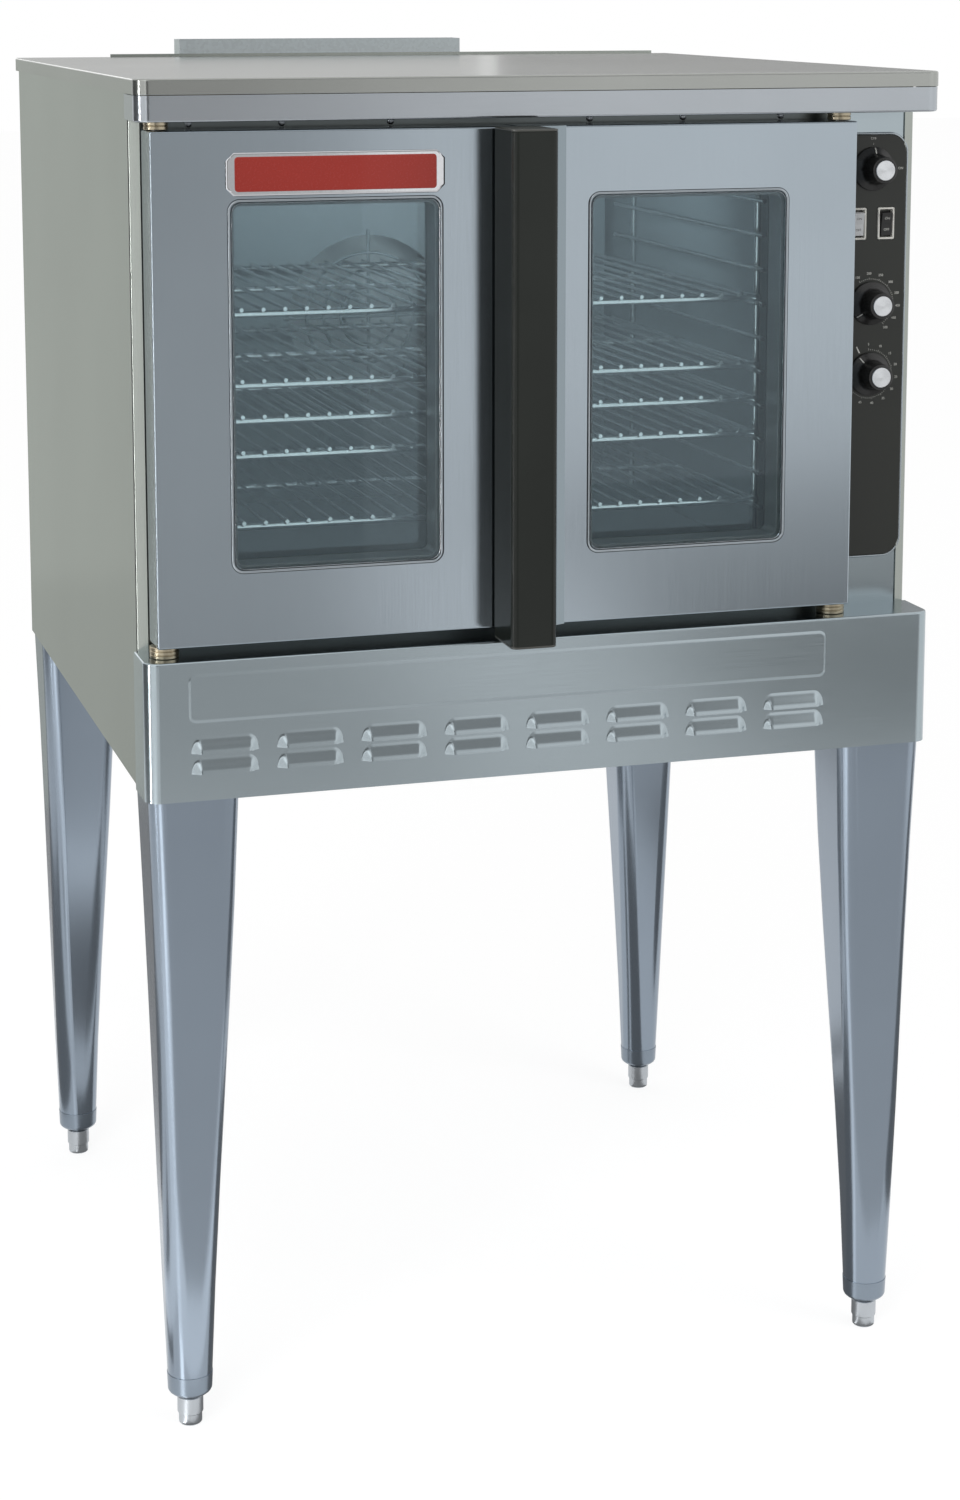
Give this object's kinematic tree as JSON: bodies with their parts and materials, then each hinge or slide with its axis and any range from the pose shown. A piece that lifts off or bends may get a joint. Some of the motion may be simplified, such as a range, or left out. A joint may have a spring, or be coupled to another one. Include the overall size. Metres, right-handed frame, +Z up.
{
  "type": "convection oven",
  "caption": "Free-standing full-size convection oven with a pair of glazed doors that open together, wire racks, a side control panel, a louvred lower panel and tall tapered legs.",
  "frame": {"origin": "on the floor, under the middle of the whole object's box", "axes": "+Z up, the doors face -Y, the controls are on the +X side"},
  "size_m": [0.972, 1.046, 1.622],
  "materials": {
    "casing_steel": "satin stainless sheet",
    "door_steel": "brushed stainless, grain upright",
    "lower_panel_steel": "brushed stainless, grain level",
    "leg_steel": "satin stainless, drawn taper",
    "foot_steel": "turned steel",
    "galvanised_steel": "galvanised sheet",
    "liner_enamel": "satin enamel",
    "rack_plating": "plated wire",
    "window_bead": "polished",
    "window_glass": "clear, faintly green",
    "handle_black": "satin black-brown",
    "handle_cap": "moulded",
    "plate_enamel": "gloss red enamel",
    "control_black": "satin black",
    "control_body": "moulded",
    "knob_black": "moulded, spun metal cap",
    "switch_black": "moulded",
    "switch_silver": "moulded, metallic",
    "bush_bronze": "sintered bronze",
    "drive_steel": "turned steel",
    "blower_aluminium": "pressed",
    "motor_paint": "satin grey",
    "burner_steel": "as cast",
    "gasket_braid": "woven braid",
    "mineral_wool": "felted wool"
  },
  "bodies": {
    "oven_body": {"leg_front_left": "leg_steel", "leg_front_right": "leg_steel", "leg_rear_left": "leg_steel", "leg_rear_right": "leg_steel", "left_side_panel": "casing_steel", "right_side_panel": "casing_steel", "back_panel": "casing_steel", "rear_cover": "casing_steel", "top_cover": "casing_steel", "top_trim": "casing_steel", "control_panel": "casing_steel", "flue_box": "galvanised_steel", "base_pan": "galvanised_steel", "lower_front_panel": "lower_panel_steel", "face_frame": "liner_enamel", "liner_left": "liner_enamel", "liner_right": "liner_enamel", "liner_top": "liner_enamel", "liner_bottom": "liner_enamel", "liner_back": "liner_enamel", "blower_baffle": "liner_enamel", "control_plate": "control_black", "control_bodies": "control_body", "hinge_bushes": "bush_bronze", "blower_motor": "motor_paint", "rack_guides": "rack_plating", "burner_tubes": "burner_steel", "door_gasket": "gasket_braid", "insulation": "mineral_wool"},
    "left_door": {"left_door_skin": "door_steel", "left_door_liner": "liner_enamel", "left_window_trim": "window_bead", "left_window_glass": "window_glass", "left_door_pins": "drive_steel", "door_plate": "plate_enamel"},
    "right_door": {"right_door_skin": "door_steel", "right_door_liner": "liner_enamel", "right_window_trim": "window_bead", "right_window_glass": "window_glass", "right_door_pins": "drive_steel", "door_astragal": "door_steel", "door_handle": "handle_black", "handle_caps": "handle_cap"},
    "chain_rod_front": {"chain_rod_front": "drive_steel"},
    "chain_rod_rear": {"chain_rod_rear": "drive_steel"},
    "mode_knob": {"mode_knob": "knob_black"},
    "thermostat_knob": {"thermostat_knob": "knob_black"},
    "timer_knob": {"timer_knob": "knob_black"},
    "left_rocker": {"left_rocker": "switch_silver"},
    "right_rocker": {"right_rocker": "switch_black"},
    "rack_1": {"rack_1": "rack_plating"},
    "rack_2": {"rack_2": "rack_plating"},
    "rack_3": {"rack_3": "rack_plating"},
    "rack_4": {"rack_4": "rack_plating"},
    "rack_5": {"rack_5": "rack_plating"},
    "blower_wheel": {"blower_wheel": "blower_aluminium"},
    "foot_front_left": {"foot_front_left": "foot_steel"},
    "foot_front_right": {"foot_front_right": "foot_steel"},
    "foot_rear_left": {"foot_rear_left": "foot_steel"},
    "foot_rear_right": {"foot_rear_right": "foot_steel"}
  },
  "joints": [
    {"name": "right_door_swing", "type": "hinge", "parent": "oven_body", "child": "right_door", "pos_m": [0.3675, -0.422, 0.955], "axis": [0, 0, 1], "range_deg": [0, 120]},
    {"name": "left_door_swing", "type": "hinge", "parent": "oven_body", "child": "left_door", "pos_m": [-0.4565, -0.422, 0.955], "axis": [0, 0, -1], "range_deg": [0, 120]},
    {"name": "chain_rod_front_slide", "type": "slide", "parent": "oven_body", "child": "chain_rod_front", "axis": [-0.9988, -0.0485, 0], "range_m": [0, 0.042]},
    {"name": "chain_rod_rear_slide", "type": "slide", "parent": "oven_body", "child": "chain_rod_rear", "axis": [0.9988, -0.0485, 0], "range_m": [0, 0.042]},
    {"name": "mode_knob_turn", "type": "hinge", "parent": "oven_body", "child": "mode_knob", "pos_m": [0.428, -0.39, 1.479], "axis": [0, 1, 0], "range_deg": [0, 90]},
    {"name": "thermostat_knob_turn", "type": "hinge", "parent": "oven_body", "child": "thermostat_knob", "pos_m": [0.428, -0.39, 1.315], "axis": [0, 1, 0], "range_deg": [0, 290]},
    {"name": "timer_knob_turn", "type": "hinge", "parent": "oven_body", "child": "timer_knob", "pos_m": [0.428, -0.39, 1.228], "axis": [0, 1, 0], "range_deg": [0, 300]},
    {"name": "left_rocker_tip", "type": "hinge", "parent": "oven_body", "child": "left_rocker", "pos_m": [0.409, -0.3895, 1.412], "axis": [-1, 0, 0], "range_deg": [0, 18]},
    {"name": "right_rocker_tip", "type": "hinge", "parent": "oven_body", "child": "right_rocker", "pos_m": [0.446, -0.3895, 1.412], "axis": [-1, 0, 0], "range_deg": [0, 18]},
    {"name": "rack_1_slide", "type": "slide", "parent": "oven_body", "child": "rack_1", "axis": [0, -1, 0], "range_m": [0, 0.04]},
    {"name": "rack_2_slide", "type": "slide", "parent": "oven_body", "child": "rack_2", "axis": [0, -1, 0], "range_m": [0, 0.04]},
    {"name": "rack_3_slide", "type": "slide", "parent": "oven_body", "child": "rack_3", "axis": [0, -1, 0], "range_m": [0, 0.04]},
    {"name": "rack_4_slide", "type": "slide", "parent": "oven_body", "child": "rack_4", "axis": [0, -1, 0], "range_m": [0, 0.04]},
    {"name": "rack_5_slide", "type": "slide", "parent": "oven_body", "child": "rack_5", "axis": [0, -1, 0], "range_m": [0, 0.04]},
    {"name": "blower_spin", "type": "hinge", "parent": "oven_body", "child": "blower_wheel", "pos_m": [-0.0445, 0.311, 1.2475], "axis": [0, 1, 0], "continuous": true},
    {"name": "foot_front_left_screw", "type": "hinge", "parent": "oven_body", "child": "foot_front_left", "pos_m": [-0.438, -0.409, 0.03], "axis": [0, 0, 1], "continuous": true},
    {"name": "foot_front_right_screw", "type": "hinge", "parent": "oven_body", "child": "foot_front_right", "pos_m": [0.438, -0.409, 0.03], "axis": [0, 0, 1], "continuous": true},
    {"name": "foot_rear_left_screw", "type": "hinge", "parent": "oven_body", "child": "foot_rear_left", "pos_m": [-0.438, 0.435, 0.03], "axis": [0, 0, 1], "continuous": true},
    {"name": "foot_rear_right_screw", "type": "hinge", "parent": "oven_body", "child": "foot_rear_right", "pos_m": [0.438, 0.435, 0.03], "axis": [0, 0, 1], "continuous": true}
  ],
  "couplings": [
    {"joint": "left_door_swing", "follows": "right_door_swing", "ratio": 1},
    {"joint": "chain_rod_front_slide", "follows": "right_door_swing", "m_per_rad": 0.02},
    {"joint": "chain_rod_rear_slide", "follows": "right_door_swing", "m_per_rad": 0.02}
  ]
}
